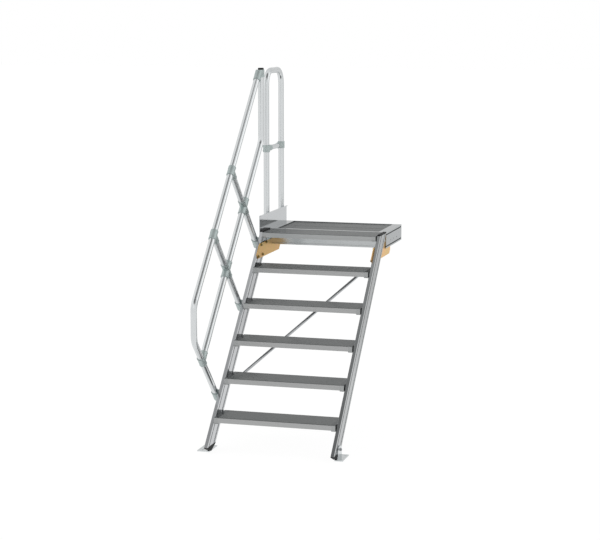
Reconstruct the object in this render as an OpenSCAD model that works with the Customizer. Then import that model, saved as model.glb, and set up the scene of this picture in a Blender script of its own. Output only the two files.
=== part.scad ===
// Straight stair with a top platform, in aluminium extrusions and tubes.
// Frame: X across the stair, Y in the climbing direction, Z up.
// The origin is the centre of the rear beam's rear face, which stands against the wall.

/* [Stair] */
// Height from one tread to the next, and from the ground to the first tread
rise = 210; // [190:1:230]
// Horizontal distance from one nosing to the next
going = 210; // [190:1:240]
// Free width between the stringers
clear_width = 800; // [600:10:1000]

/* [Stringers] */
// Thickness of the stringer extrusion
stringer_w = 22; // [18:1:30]
// Depth of the stringer extrusion, square to the slope
stringer_d = 120; // [100:1:150]
// Wall of the stringer extrusion
stringer_wall = 2.5; // [2:0.5:4]
// Distance from the nosing line back to the stringer's front face, square to the slope
nose_offset = 28; // [15:1:40]
// Width of the raised band along each edge of the stringer's sides
stringer_band = 33; // [20:1:40]
// Depth of the recessed web between the raised bands
web_recess = 1.2; // [0.5:0.1:2]
// Bevel of the stringer's long edges
stringer_edge = 1; // [0.5:0.5:4]
// Width of the two grooves in each side of the stringer
stringer_slot_w = 8; // [6:0.5:10]
// Depth of the grooves in the stringer's sides
stringer_slot_d = 5; // [3:0.5:6]
// Distance of those grooves from the stringer's long edges
stringer_slot_in = 24; // [20:1:28]
// Height of the stringer's level lower cut above the ground
stringer_foot_z = 42; // [30:1:60]
// Thickness of the plastic shoe at its front and rear edges
shoe_t = 4; // [2:1:12]
// Radius of the shoe's rounded sole
shoe_r = 22; // [12:1:30]
// Distance from the first nosing forward to the middle of the shoe's sole
shoe_ahead = 47; // [30:1:60]
// Height of the plastic cap on the stringer's upper end
cap_t = 8; // [4:1:12]

/* [Treads] */
// Depth of a tread from nosing to rear edge
tread_depth = 225; // [180:1:260]
// Height of a tread
tread_h = 34; // [28:1:50]
// Wall of the tread extrusion
tread_wall = 3; // [2:0.5:5]
// Height of the grip ribs
rib_h = 1.6; // [0.8:0.1:3]
// Distance from one grip rib to the next
rib_pitch = 9; // [6:0.5:15]
// Width of the casting at each end of a tread
tread_end_w = 27; // [12:1:30]
// How far the end casting hangs below the tread
tread_end_drop = 7; // [2:1:12]
// Gap between the end casting and the stringer, bridged by the casting's pad
tread_gap = 3; // [2:1:14]
// Distance that the pad keeps from the edges of the casting and of the stringer
pad_in = 5; // [3:1:8]

/* [Platform] */
// Length of the platform from its nosing to its rear face
platform_length = 686; // [560:1:900]
// Height of the side members
side_h = 108; // [90:1:140]
// Width of the side member's top flange
flange_w = 60; // [40:1:80]
// Thickness of the flanges and of the ledge
flange_t = 4; // [3:0.5:6]
// Width of the ledge that carries the rear planks
ledge_w = 28; // [20:1:40]
// Distance of the grooves from the edges of the side members and of the front beam
groove_in = 14; // [9:1:20]
// Width of a groove
groove_w = 8; // [5:0.5:10]
// Depth of a groove
groove_d = 8; // [4:0.5:10]
// Diameter of the three holes in the side member's outer wall
side_hole_d = 9; // [6:0.5:12]
// Distance from one of those holes to the next
side_hole_pitch = 90; // [60:5:110]
// Distance from the platform's nosing back to the middle hole
side_hole_set = 440; // [400:5:480]
// How far the holes lie below the middle of the side member
side_hole_drop = 12; // [0:1:20]
// How far the rear planks lie below the platform level
deck_recess = 6; // [5:1:12]
// Width of the top of the cross bar between the front plank and the rear planks
cross_bar_w = 24; // [16:1:40]
// Width of the cross bar's foot under the front plank
cross_bar_foot = 12; // [8:1:20]
// Depth of the front beam, which stands under the cross bar
front_beam_d = 24; // [20:1:40]
// Wall of the front beam
front_beam_wall = 3; // [2:0.5:4]
// Thickness of the rear beam's web
rear_beam_t = 12; // [8:1:20]
// Width of the rear beam's foot under the deck
rear_foot_w = 30; // [20:1:40]
// Thickness of the rear beam's foot
rear_foot_t = 6; // [4:1:10]

/* [Gussets] */
// Thickness of the steel gusset plates
gusset_t = 5; // [3:0.5:8]
// How far the gusset reaches behind the platform's nosing
gusset_reach = 430; // [330:1:500]
// How far the gusset hangs below the side member
gusset_drop = 60; // [30:1:90]
// How far the gusset reaches up beside the side member
gusset_top = 38; // [28:1:50]
// How far the gusset stands in front of the stringer
gusset_proud = 20; // [5:1:26]
// Chamfer at the gusset's lower corners
gusset_chamfer = 28; // [10:1:40]

/* [Toe board] */
// Distance from the platform's nosing to the toe board's front end
toe_start = 35; // [20:1:60]
// Height of the toe board above the platform
toe_h = 108; // [90:1:150]
// Thickness of the toe board
toe_t = 4; // [2:0.5:6]
// Width of the toe board's folded top lip
toe_lip = 12; // [8:1:20]
// How far the toe board laps down over the side member
toe_lap = 20; // [12:1:24]

/* [Handrail] */
// Outer diameter of the rails, the posts and the hoop
tube_d = 40; // [34:1:42]
// Wall of the tubes
tube_wall = 2.5; // [1.5:0.5:4]
// Distance from the stringer's outer face to the plane of the tube centres
tube_out = 33; // [28:1:45]
// Height of the top rail above the nosing line, square to the slope
top_rail_n = 672; // [600:1:750]
// Height of the middle rail above the nosing line, square to the slope
mid_rail_n = 304; // [250:1:400]
// Distance along the slope from the first nosing to the lower end post
post_c_s = 226; // [150:1:300]
// Distance along the slope from the first nosing to the lower post
post_b_s = 937; // [850:1:1000]
// Distance along the slope from the first nosing to the upper post
post_a_s = 1464; // [1350:1:1500]
// How far the rail's lower upright stands ahead of the first nosing
rail_ahead = 203; // [150:1:260]
// Distance from the platform's nosing back to the riser tube
riser_set = 176; // [140:1:220]
// Height of the riser tube's connector above the platform
riser_h = 1095; // [1000:1:1200]
// Bend radius of the rails' centre line
rail_bend = 100; // [70:1:110]
// How much thinner a tube is drawn in its bends
bend_draw = 0.1; // [0.05:0.05:0.3]
// How far the straight tube runs into a bend
bend_lap = 0.5; // [0.3:0.1:1]

/* [Tube connectors] */
// Wall of the cast connectors
connector_wall = 4; // [3:0.5:6]
// Clearance between a tube and the bore that holds it
tube_fit = 0.2; // [0.1:0.05:0.4]
// Length of a connector's main sleeve
sleeve_len = 70; // [60:1:90]
// Length of a connector's branch from the sleeve's axis
branch_len = 64; // [50:1:76]
// How much thinner a branch is at its end than at its root
branch_taper = 2; // [0:0.5:3]
// Length of the top connector's branch
top_branch_len = 72; // [60:1:90]
// Length of a socket on the stringer
socket_len = 76; // [60:1:90]
// Width of the block that carries a socket
socket_block_w = 40; // [30:1:46]
// Distance that the block keeps from the socket's ends
socket_block_in = 6; // [4:1:12]
// Gap between a tube's end and the bottom of its socket
tube_end_gap = 4; // [2:1:8]
// Height of the upright sleeve at the riser's top
top_sleeve_h = 52; // [44:1:80]
// Height of the plug on the riser
plug_h = 12; // [6:1:20]
// Bevel of the plug's upper edge
plug_bevel = 3; // [1:0.5:5]

/* [Guard hoop] */
// Distance from the platform's nosing to the hoop's front leg
hoop_set = 303; // [280:1:340]
// Distance between the hoop's legs
hoop_w = 360; // [280:5:380]
// Height of the hoop's top above the platform
hoop_h = 1100; // [1000:5:1200]
// Bend radius of the hoop's centre line
hoop_bend = 100; // [70:1:120]
// Height of the knee rail above the platform
knee_h = 546; // [450:1:650]
// Outer diameter of the knee rail
knee_d = 34; // [28:1:38]
// Length of the knee rail's sleeves
knee_sleeve = 48; // [40:1:60]
// Length of the knee rail's branches from the axis of the hoop's leg
knee_branch_len = 52; // [40:1:70]
// Gap between the toe board's lower edge and the hoop's sockets
hoop_socket_gap = 5; // [2:1:10]

/* [Brace and feet] */
// Diameter of the diagonal bar
brace_d = 20; // [14:1:24]
// Gap between the treads' lower rear edges and the diagonal bar
brace_clear = 2; // [1:0.5:8]
// How far the bar's ends lie below the tops of the treads that hold them
brace_sink = 22; // [18:1:26]
// Distance from the left stringer to the bar's lower lug
brace_low_in = 46; // [36:1:120]
// Distance from the right stringer to the bar's upper lug
brace_high_in = 82; // [36:1:120]
// Thickness of the bar's lugs
brace_lug_t = 6; // [4:0.5:10]
// How far the foot brackets start ahead of the first nosing
foot_ahead = 62; // [40:1:80]
// Thickness of the foot brackets
foot_t = 6; // [4:0.5:10]
// Length of the foot plates along the climbing direction
foot_len = 158; // [140:1:220]
// Width of the left foot plate outside the stringer
foot_w_left = 68; // [50:1:90]
// Width of the right foot plate outside the stringer
foot_w_right = 40; // [36:1:90]
// How far the foot plates reach under the stringers
foot_in = 14; // [6:1:20]
// Height of the foot bracket's upright lug
lug_h = 84; // [80:1:120]
// Length of the upright lug
lug_len = 96; // [94:1:130]
// Distance from the foot plate's front end to the upright lug
lug_set = 12; // [4:1:30]
// Radius of the upright lug's upper corners
lug_r = 44; // [10:1:45]
// Diameter of the floor bolt holes
foot_hole_d = 14; // [9:0.5:16]
// Distance between the floor bolt holes
foot_hole_spacing = 108; // [80:1:120]

/* [Hidden] */
$fn = 64;
tread_count = 5;
eps = 1;
far = 4000;

platform_z = rise*(tread_count + 1);
platform_y = going*tread_count;
rear_y = platform_y + platform_length;
slope = atan2(rise, going);
inner_x = clear_width/2;
outer_x = inner_x + stringer_w;
tube_x = outer_x + tube_out;

stringer_front_n = -nose_offset;
stringer_rear_n = -nose_offset - stringer_d;
stringer_mid_n = -nose_offset - stringer_d/2;
// How far the stringers' upper cuts stay below the platform and ahead of the side members
joint_gap = 2;
// Number of flats that make up the shoe's round sole
sole_steps = 10;
stringer_cut_z = platform_z - joint_gap;
// Place along Y of the stringer's rear corner at its upper cut
stringer_top_rear_y = on_line_y(stringer_rear_n, stringer_cut_z);

side_y0 = stringer_top_rear_y + joint_gap;
side_z0 = platform_z - side_h;
deck_z = platform_z - deck_recess;
ledge_z = deck_z - tread_h;
cross_y0 = platform_y + tread_depth + eps;
cross_y1 = cross_y0 + cross_bar_w;
beam_y1 = cross_y0 + front_beam_d;
// Half the length of the treads and of the front plank, between their end castings
tread_half = inner_x - tread_gap - tread_end_w;
// Clearance of the cross bar and of the rear planks between the side members
cross_fit = 0.3;
plank_fit = 2;
plank_depth = (rear_y - rear_beam_t - cross_y1)/2;

// Tread that holds the diagonal bar's lower end
brace_tread = 2;
// Line of the diagonal bar's centre, behind the treads' lower rear edges
brace_n = n_of(tread_depth, rise - tread_h) - brace_clear - brace_d/2;

connector_d = tube_d + 2*tube_fit + 2*connector_wall;
bore_d = tube_d + 2*tube_fit;
riser_y = platform_y + riser_set;
riser_top = platform_z + riser_h;
hoop_y0 = platform_y + hoop_set;
hoop_y1 = hoop_y0 + hoop_w;
knee_z = platform_z + knee_h;
origin_z = platform_z - side_h/2;
socket_foot_n = stringer_mid_n - socket_len/2;
post_end_n = socket_foot_n + connector_wall + tube_end_gap;
// The top rail ends clear of the riser and below the level cut of its connector
rail_end_y = min(
    riser_y - bore_d/2 - connector_wall - tube_d/2*sin(slope),
    on_line_y(top_rail_n, riser_top - connector_wall - tube_d/2*cos(slope))
);
rail_end = [rail_end_y, on_line_z(top_rail_n, rail_end_y)];
hoop_foot_z = platform_z - toe_lap - hoop_socket_gap - socket_len;

// ---- Geometry of the slope ----

// The point [y, z] that lies s along the nosing line and n above it, square to it
function on_slope(s, n) = [s*cos(slope) - n*sin(slope), rise + s*sin(slope) + n*cos(slope)];
// Height n, square to the slope, of the point [y, z]
function n_of(y, z) = (z - rise)*cos(slope) - y*sin(slope);
// Distance s along the slope of the line n at the place y
function slope_s(y, n) = (y + n*sin(slope))/cos(slope);
// Height above the ground of the line n at the place y
function on_line_z(n, y) = on_slope(slope_s(y, n), n)[1];
// Place along Y of the line n at the height z
function on_line_y(n, z) = on_slope((z - rise - n*cos(slope))/sin(slope), n)[0];
// Height of the post line s at the place y
function post_line_z(s, y) = on_slope(s, (s*cos(slope) - y)/sin(slope))[1];

// Puts the origin on the rear beam's rear face
module placed() {
    translate([0, -rear_y, -origin_z]) children();
}

// Local Y runs up the slope and local Z stands square to it, from the first nosing
module on_pitch() {
    translate([0, 0, rise]) rotate([slope, 0, 0]) children();
}

// Carries a profile drawn as [y, z] from x0 to x1
module along_x(x0, x1) {
    translate([x0, 0, 0]) rotate([90, 0, 90]) linear_extrude(x1 - x0) children();
}

// Carries a profile drawn as [x, z] from y0 to y1
module along_y(y0, y1) {
    translate([0, y1, 0]) rotate([90, 0, 0]) linear_extrude(y1 - y0) children();
}

// Keeps what lies between two heights
module between_z(z0, z1) {
    intersection() {
        children();
        translate([-far/2, -far/2, z0]) cube([far, far, z1 - z0]);
    }
}

// Draws a piece on the left as it is on the right
module on_side(side) {
    if (side < 0) mirror([1, 0, 0]) children();
    else children();
}

// ---- Stringers ----

// Cross-section [x, n] of the right stringer: two grooves in each face and three chambers
module stringer_section() {
    x0 = inner_x;
    x1 = outer_x;
    n0 = stringer_rear_n;
    n1 = stringer_front_n;
    r = stringer_edge;
    b = stringer_band;
    g = web_recess;
    w = stringer_wall;
    // far side of a groove, measured from the long edge next to it
    s = stringer_slot_in + stringer_slot_w/2;
    difference() {
        polygon([
            [x0 + r, n0], [x1 - r, n0], [x1, n0 + r], [x1, n0 + b], [x1 - g, n0 + b + g],
            [x1 - g, n1 - b - g], [x1, n1 - b], [x1, n1 - r], [x1 - r, n1], [x0 + r, n1],
            [x0, n1 - r], [x0, n1 - b], [x0 + g, n1 - b - g], [x0 + g, n0 + b + g],
            [x0, n0 + b], [x0, n0 + r]
        ]);
        for (n = [n0 + w, n1 - s + stringer_slot_w + w])
            translate([x0 + w, n]) square([stringer_w - 2*w, s - stringer_slot_w - 2*w]);
        translate([x0 + w + g, n0 + s + w]) square([stringer_w - 2*w - 2*g, stringer_d - 2*s - 2*w]);
        for (x = [x0 - eps, x1 - stringer_slot_d], n = [n0 + s - stringer_slot_w, n1 - s])
            translate([x, n]) square([stringer_slot_d + eps, stringer_slot_w]);
    }
}

module stringer(side) {
    color("#b9bbbd") on_side(side) between_z(stringer_foot_z, stringer_cut_z)
        on_pitch() along_y(-far/8, far/2) stringer_section();
}

module top_cap(side) {
    color("#2c2e2e") on_side(side) between_z(stringer_cut_z, stringer_cut_z + cap_t) on_pitch()
        translate([inner_x, -far/8, stringer_rear_n]) cube([stringer_w, far*5/8, stringer_d]);
}

// Wedge under the stringer's level cut, with a rounded sole
module shoe(side) {
    c = [-shoe_ahead, foot_t + shoe_r];
    front = [on_line_y(stringer_front_n, stringer_foot_z), stringer_foot_z];
    rear = [on_line_y(stringer_rear_n, stringer_foot_z), stringer_foot_z];
    low_front = front - [0, shoe_t];
    low_rear = rear - [0, shoe_t];
    // the wedge's lower faces touch the sole's round at these angles
    a0 = (heading(c, low_front) + 360) % 360 + acos(shoe_r/norm(low_front - c));
    a1 = heading(c, low_rear) + 360 - acos(shoe_r/norm(low_rear - c));
    sole = [for (k = [0 : sole_steps]) let (a = a0 + (a1 - a0)*k/sole_steps) c + shoe_r*[cos(a), sin(a)]];
    color("#2c2e2e") on_side(side) along_x(inner_x, outer_x)
        polygon(concat([rear, front, low_front], sole, [low_rear]));
}

// Angle bracket with a rounded upright lug, bolted beside the stringer's foot
module foot_bracket(side, width) {
    hole_x = outer_x + foot_t + (width - foot_t)/2;
    mid = foot_len/2 - foot_ahead;
    color("#b4b7b8") on_side(side) difference() {
        union() {
            translate([outer_x - foot_in, -foot_ahead, 0]) cube([width + foot_in, foot_len, foot_t]);
            along_x(outer_x, outer_x + foot_t) translate([lug_set - foot_ahead, 0]) intersection() {
                square([lug_len, lug_h]);
                union() {
                    square([lug_len, lug_h - lug_r]);
                    translate([lug_r, 0]) square([lug_len - 2*lug_r, lug_h]);
                    for (y = [lug_r, lug_len - lug_r]) translate([y, lug_h - lug_r]) circle(lug_r);
                }
            }
        }
        for (y = [mid - foot_hole_spacing/2, mid + foot_hole_spacing/2])
            translate([hole_x, y, -eps]) cylinder(h = foot_t + 2*eps, d = foot_hole_d);
    }
}

// ---- Treads and planks ----

// Cross-section [y, z] of a ribbed plank: nosing at y = 0, walking surface at z = 0
module plank_section(depth, height) {
    ribs = floor((depth - 2*rib_pitch)/rib_pitch);
    first = (depth - (ribs - 1)*rib_pitch)/2;
    top = [
        for (i = [0 : ribs - 1], k = [0 : 3])
            [first + i*rib_pitch + [-1, -0.7, 0.7, 1][k]*rib_pitch/4, k == 0 || k == 3 ? -rib_h : 0]
    ];
    lip = height/3;
    w = tread_wall;
    polygon(concat(
        [[0, -w], [rib_h, -rib_h/2]], top, [[depth - rib_h, -rib_h/2], [depth, -w]],
        [
            [depth, -height], [depth - lip, -height], [depth - lip, w - height],
            [depth - w, w - height], [depth - w, -rib_h - w]
        ],
        [
            for (p = [2/3, 1/3], q = [[w/2, 0], [w/2, 1], [-w/2, 1], [-w/2, 0]])
                [p*depth + q[0], q[1] == 0 ? -rib_h - w : -height*0.7]
        ],
        [
            [w, -rib_h - w], [w, w - height], [lip, w - height], [lip, -height], [0, -height]
        ]
    ));
}

module plank(y, z, depth, half) {
    color("#8b8d8e") translate([0, y, z]) along_x(-half, half) plank_section(depth, tread_h);
}

module tread(i) {
    plank(going*(i - 1), rise*i, tread_depth, tread_half);
}

// Casting that closes the end of tread i and hangs below it by drop, with a pad against the stringer
module tread_end(i, drop) {
    h = tread_h + drop;
    c = pad_in;
    pad_y0 = on_line_y(stringer_front_n, rise) + pad_in;
    pad_y1 = on_line_y(stringer_rear_n, rise - tread_h) - pad_in;
    color("#77797b") translate([0, going*(i - 1), rise*i]) {
        along_x(tread_half, tread_half + tread_end_w) polygon([
            [0, -c/2], [c/2, 0], [tread_depth - c, 0], [tread_depth, -c],
            [tread_depth, c - h], [tread_depth - c, -h], [c, -h], [0, c - h]
        ]);
        translate([tread_half + tread_end_w, pad_y0, pad_in - tread_h])
            cube([tread_gap, pad_y1 - pad_y0, tread_h - pad_in]);
    }
}

// The castings of the treads and of the front plank
module tread_ends(side) {
    on_side(side) {
        for (i = [1 : tread_count]) tread_end(i, tread_end_drop);
        tread_end(tread_count + 1, 0);
    }
}

// Centre of the diagonal bar at the place x beside tread i
function brace_end(i, x) =
    let (z = rise*i - brace_sink)
    [x, on_line_y(brace_n, z), z];

// Plate from the rear face of tread i to the bar's end at p
module brace_lug(i, p) {
    y = going*(i - 1) + tread_depth;
    z = rise*i;
    along_x(p[0] - brace_lug_t/2, p[0] + brace_lug_t/2) polygon([
        [y, z - tread_h + pad_in], [p[1], p[2] - brace_d/2],
        [p[1], p[2] + brace_d/2], [y, z - pad_in]
    ]);
}

// Round bar behind the treads, from low left to high right, with a lug at each end
module diagonal_brace() {
    low = brace_end(brace_tread, brace_low_in - inner_x);
    high = brace_end(tread_count, inner_x - brace_high_in);
    way = high - low;
    color("#b9bbbd") {
        translate(low) rotate([0, acos(way[2]/norm(way)), atan2(way[1], way[0])])
            translate([0, 0, -brace_lug_t]) cylinder(h = norm(way) + 2*brace_lug_t, d = brace_d);
        brace_lug(brace_tread, low);
        brace_lug(tread_count, high);
    }
}

// ---- Platform ----

// Cross-section [u, z] of an upright hollow bar, t thick, with two grooves in the face at u = t
module bar_section(t, z0, z1, w) {
    grooves = [z0 + groove_in, platform_z - groove_in];
    difference() {
        union() {
            difference() {
                translate([0, z0]) square([t, z1 - z0]);
                translate([w, z0 + w]) square([t - 2*w, z1 - z0 - 2*w]);
            }
            for (z = grooves) if (z < z1)
                translate([t - groove_d - w, z - groove_w/2 - w]) square([groove_d + w, groove_w + 2*w]);
        }
        for (z = grooves) translate([t - groove_d, z - groove_w/2]) square([groove_d + eps, groove_w]);
    }
}

// Hollow beam under the cross bar, between the gussets, with its groove towards the front
module front_beam() {
    half = inner_x - gusset_t;
    color("#c4c8c8") translate([0, beam_y1, 0]) along_x(-half, half)
        mirror([1, 0, 0]) bar_section(front_beam_d, side_z0, ledge_z, front_beam_wall);
}

// Cross-section [x, z] of the right side member: a grooved bar with a top flange and a ledge
module side_section() {
    w = stringer_wall;
    translate([inner_x, 0]) bar_section(stringer_w, side_z0, platform_z, w);
    translate([outer_x - flange_w, platform_z - flange_t]) square([flange_w, flange_t]);
    translate([inner_x - ledge_w, ledge_z - flange_t]) square([ledge_w + w, flange_t]);
}

module side_member(side) {
    w = stringer_wall;
    mid_z = side_z0 + side_h/2 - side_hole_drop;
    color("#c4c8ca") on_side(side) difference() {
        union() {
            along_y(side_y0, rear_y) side_section();
            // wall that closes the front end
            translate([inner_x, side_y0, side_z0 + w])
                cube([stringer_w - groove_d, w, side_h - 2*w]);
            translate([inner_x, side_y0, side_z0 + groove_in + groove_w/2])
                cube([stringer_w, w, side_h - 2*groove_in - groove_w]);
        }
        // room for the front plank and the cross bar in the top flange
        translate([0, side_y0 - eps, ledge_z + eps]) cube([inner_x, cross_y1 - side_y0 + eps, far]);
        // room for the front beam in the ledge
        translate([0, side_y0 - eps, ledge_z - flange_t - eps])
            cube([inner_x, max(cross_y1, beam_y1) - side_y0 + eps, flange_t + 3*eps]);
        // room for the rear beam between the two side members
        translate([0, rear_y - rear_beam_t, side_z0 - eps]) cube([inner_x, far, far]);
        for (k = [-1 : 1])
            translate([outer_x - w - eps, platform_y + side_hole_set + k*side_hole_pitch, mid_z])
                rotate([0, 90, 0]) cylinder(h = w + 2*eps, d = side_hole_d);
    }
}

// Bar under the joint between the front plank and the rear planks
module cross_bar() {
    half = inner_x - cross_fit;
    y0 = cross_y0 - cross_bar_foot;
    color("#c4c8ca") along_x(-half, half) polygon([
        [y0, ledge_z], [cross_y1, ledge_z], [cross_y1, platform_z],
        [cross_y0, platform_z], [cross_y0, platform_z - tread_h], [y0, platform_z - tread_h]
    ]);
}

module rear_beam() {
    y0 = rear_y - rear_beam_t;
    color("#c4c8ca") along_x(-inner_x, inner_x) polygon([
        [y0 - rear_foot_w, side_z0], [rear_y, side_z0], [rear_y, platform_z], [y0, platform_z],
        [y0, side_z0 + rear_foot_t], [y0 - rear_foot_w, side_z0 + rear_foot_t]
    ]);
}

module deck_plank_front() {
    plank(platform_y, platform_z, tread_depth, tread_half);
}

module deck_plank(k) {
    plank(cross_y1 + k*plank_depth, deck_z, plank_depth, inner_x - plank_fit);
}

// Plate that joins a stringer to its side member and to the front beam
module gusset(side) {
    z0 = side_z0 - gusset_drop;
    z1 = side_z0 + gusset_top;
    n = stringer_front_n + gusset_proud;
    c = gusset_chamfer;
    y0 = on_line_y(n, z0 + c);
    y1 = platform_y + gusset_reach;
    color("#c9a468") on_side(side) along_x(inner_x - gusset_t, inner_x) polygon([
        [y0 + c, z0], [y1 - c, z0], [y1, z0 + c], [y1, z1], [on_line_y(n, z1) + c/2, z1],
        [on_line_y(n, z1 - c/2), z1 - c/2], [y0, z0 + c]
    ]);
}

// Upright board on the left side member, with a folded top lip
module toe_board() {
    z1 = platform_z + toe_h;
    color("#c2c6c8") on_side(-1) along_y(platform_y + toe_start, rear_y) {
        translate([outer_x, platform_z - toe_lap]) square([toe_t, toe_h + toe_lap]);
        translate([outer_x + toe_t - toe_lip, z1 - toe_t]) square([toe_lip, toe_t]);
    }
}

// ---- Tubes ----

// Angle of the way from a to b in the [y, z] plane
function heading(a, b) = atan2(b[1] - a[1], b[0] - a[0]);
// Length that a bend of radius r takes from each side of the corner at p[i]
function trim(p, i, r) =
    i == 0 || i == len(p) - 1 ? 0 :
    r*tan(abs(turn(p, i))/2);
// Turn at the corner p[i], positive to the left, in -180 to 180
function turn(p, i) =
    let (t = heading(p[i], p[i + 1]) - heading(p[i - 1], p[i]))
    t > 180 ? t - 360 : t < -180 ? t + 360 : t;

// The straight that leaves p[i] along local Z, with every bend and straight after it.
// A bend draws the bar in by bend_draw, and the straights run bend_lap into it.
module bar_run(p, r, d, grow, i) {
    low = i == 0 ? grow : bend_lap;
    high = i == len(p) - 2 ? grow : bend_lap;
    h = norm(p[i + 1] - p[i]) - trim(p, i, r) - trim(p, i + 1, r);
    translate([0, 0, -low]) cylinder(h = low + h + high, d = d);
    if (i < len(p) - 2) {
        t = turn(p, i + 1);
        translate([0, -sign(t)*r, h]) {
            rotate([90, 0, 90*sign(t)]) rotate_extrude(angle = abs(t))
                translate([r, 0]) circle(d = d - bend_draw);
            rotate([t, 0, 0]) translate([0, sign(t)*r, 0]) bar_run(p, r, d, grow, i + 1);
        }
    }
}

// Round bar of diameter d through the corners p = [[y, z], ...], with bends of radius r
module bent_bar(p, r, d, grow = 0) {
    translate([0, p[0][0], p[0][1]]) rotate([heading(p[0], p[1]) - 90, 0, 0])
        bar_run(p, r, d, grow, 0);
}

module bent_tube(p, r, d = tube_d) {
    difference() {
        bent_bar(p, r, d);
        bent_bar(p, r, d - 2*tube_wall, eps);
    }
}

module tube_plane() {
    translate([-tube_x, 0, 0]) children();
}

// Straight tube from the point a to the point b, both [y, z]
module straight_tube(a, b, d = tube_d) {
    color("#cfd2d4") tube_plane() bent_tube([a, b], rail_bend, d);
}

// Lower upright, sloping rail up to the riser's connector, and the end post below
module top_rail() {
    y = -rail_ahead;
    color("#cfd2d4") tube_plane() bent_tube([
        on_slope(post_c_s, post_end_n), [y, post_line_z(post_c_s, y)],
        [y, on_line_z(top_rail_n, y)], rail_end
    ], rail_bend);
}

// Middle rail that turns up into the riser
module middle_rail() {
    color("#cfd2d4") tube_plane() bent_tube([
        on_slope(post_c_s + tube_d/2 + eps, mid_rail_n),
        [riser_y, on_line_z(mid_rail_n, riser_y)], [riser_y, riser_top - eps]
    ], rail_bend);
}

// A post in two lengths, above and below the middle rail that runs through its cross
module post(s) {
    gap = tube_d/2 + eps;
    straight_tube(on_slope(s, post_end_n), on_slope(s, mid_rail_n - gap));
    straight_tube(on_slope(s, mid_rail_n + gap), on_slope(s, top_rail_n - gap));
}

// ---- Tube connectors ----

// Tapered branch along local Z from the axis of its sleeve
module branch(h) {
    cylinder(h = h, d1 = connector_d - eps/2, d2 = connector_d - branch_taper);
}

// Connector at the slope's point s, n. Its sleeve lies along the rail, or across it when along is 0;
// branches leave it square to the rail, up and down, and along the rail by forward.
module fitting(s, n, along, up, down, forward = 0) {
    p = on_slope(s, n);
    color("#a0aeac") tube_plane() translate([0, p[0], p[1]]) rotate([slope, 0, 0]) difference() {
        union() {
            if (along > 0) {
                translate([0, -along/2, 0]) rotate([-90, 0, 0]) cylinder(h = along, d = connector_d);
                if (up > 0) branch(up);
                rotate([180, 0, 0]) branch(down);
            } else translate([0, 0, -down]) cylinder(h = up + down, d = connector_d);
            if (forward > 0) rotate([-90, 0, 0]) branch(forward);
        }
        if (along > 0) translate([0, -along/2 - eps, 0]) rotate([-90, 0, 0])
            cylinder(h = along + 2*eps, d = bore_d);
        if (forward > 0) rotate([-90, 0, 0]) cylinder(h = forward + eps, d = bore_d);
        translate([0, 0, -down - eps]) cylinder(h = down + eps + (up > 0 ? up + eps : 0), d = bore_d);
    }
}

module rail_tees() {
    for (s = [post_a_s, post_b_s]) fitting(s, top_rail_n, sleeve_len, 0, branch_len);
}

module rail_crosses() {
    for (s = [post_a_s, post_b_s]) fitting(s, mid_rail_n, 2*branch_len, branch_len, branch_len);
}

module lower_joint() {
    fitting(post_c_s, mid_rail_n, 0, sleeve_len/2, sleeve_len/2, branch_len);
}

// Upright sleeve on the riser with a sloping branch for the top rail, cut level with its top.
// A level neck fills the corner between the rail's end and the sleeve.
module top_connector() {
    reach = (riser_y - rail_end_y)/cos(slope);
    sleeve_z = min(riser_top - top_sleeve_h, rail_end[1] - connector_d/2);
    color("#a0aeac") tube_plane() between_z(0, riser_top) difference() {
        union() {
            translate([0, riser_y, sleeve_z]) cylinder(h = riser_top - sleeve_z, d = connector_d);
            translate([0, rail_end[0], rail_end[1]]) {
                rotate([slope - 90, 0, 0]) translate([0, 0, -top_branch_len])
                    cylinder(h = top_branch_len + reach, d = connector_d);
                rotate([-90, 0, 0]) cylinder(h = riser_y - rail_end_y, d = connector_d - 2*eps);
            }
        }
        translate([0, riser_y, 0]) cylinder(h = far, d = bore_d);
        translate([0, rail_end[0], rail_end[1]]) rotate([slope - 90, 0, 0])
            translate([0, 0, -top_branch_len - eps]) cylinder(h = top_branch_len + 2*eps, d = bore_d);
    }
}

// Plug on the riser's open end, inside the connector's sleeve at its foot
module rail_plug() {
    color("#2c2e2e") tube_plane() translate([0, riser_y, riser_top - eps]) {
        cylinder(h = plug_h + eps - plug_bevel, d = tube_d);
        translate([0, 0, plug_h + eps - plug_bevel])
            cylinder(h = plug_bevel, d1 = tube_d, d2 = tube_d - 2*plug_bevel);
    }
}

// Blind socket around the origin, on a block against the face at x = tube_out
module socket() {
    block_h = socket_len - 2*socket_block_in;
    color("#a0aeac") difference() {
        union() {
            translate([0, 0, -socket_len/2]) cylinder(h = socket_len, d = connector_d);
            translate([0, -socket_block_w/2, -block_h/2]) cube([tube_out, socket_block_w, block_h]);
        }
        translate([0, 0, connector_wall - socket_len/2]) cylinder(h = socket_len, d = bore_d);
    }
}

module post_sockets() {
    for (s = [post_a_s, post_b_s, post_c_s]) {
        p = on_slope(s, stringer_mid_n);
        tube_plane() translate([0, p[0], p[1]]) rotate([slope, 0, 0]) socket();
    }
}

// ---- Guard hoop ----

module guard_hoop() {
    z0 = hoop_foot_z + connector_wall + tube_end_gap;
    z1 = platform_z + hoop_h - tube_d/2;
    color("#cfd2d4") tube_plane() bent_tube([
        [hoop_y0, z0], [hoop_y0, z1], [hoop_y1, z1], [hoop_y1, z0]
    ], hoop_bend);
}

module knee_rail() {
    gap = tube_d/2 + eps;
    straight_tube([hoop_y0 + gap, knee_z], [hoop_y1 - gap, knee_z], knee_d);
}

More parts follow.
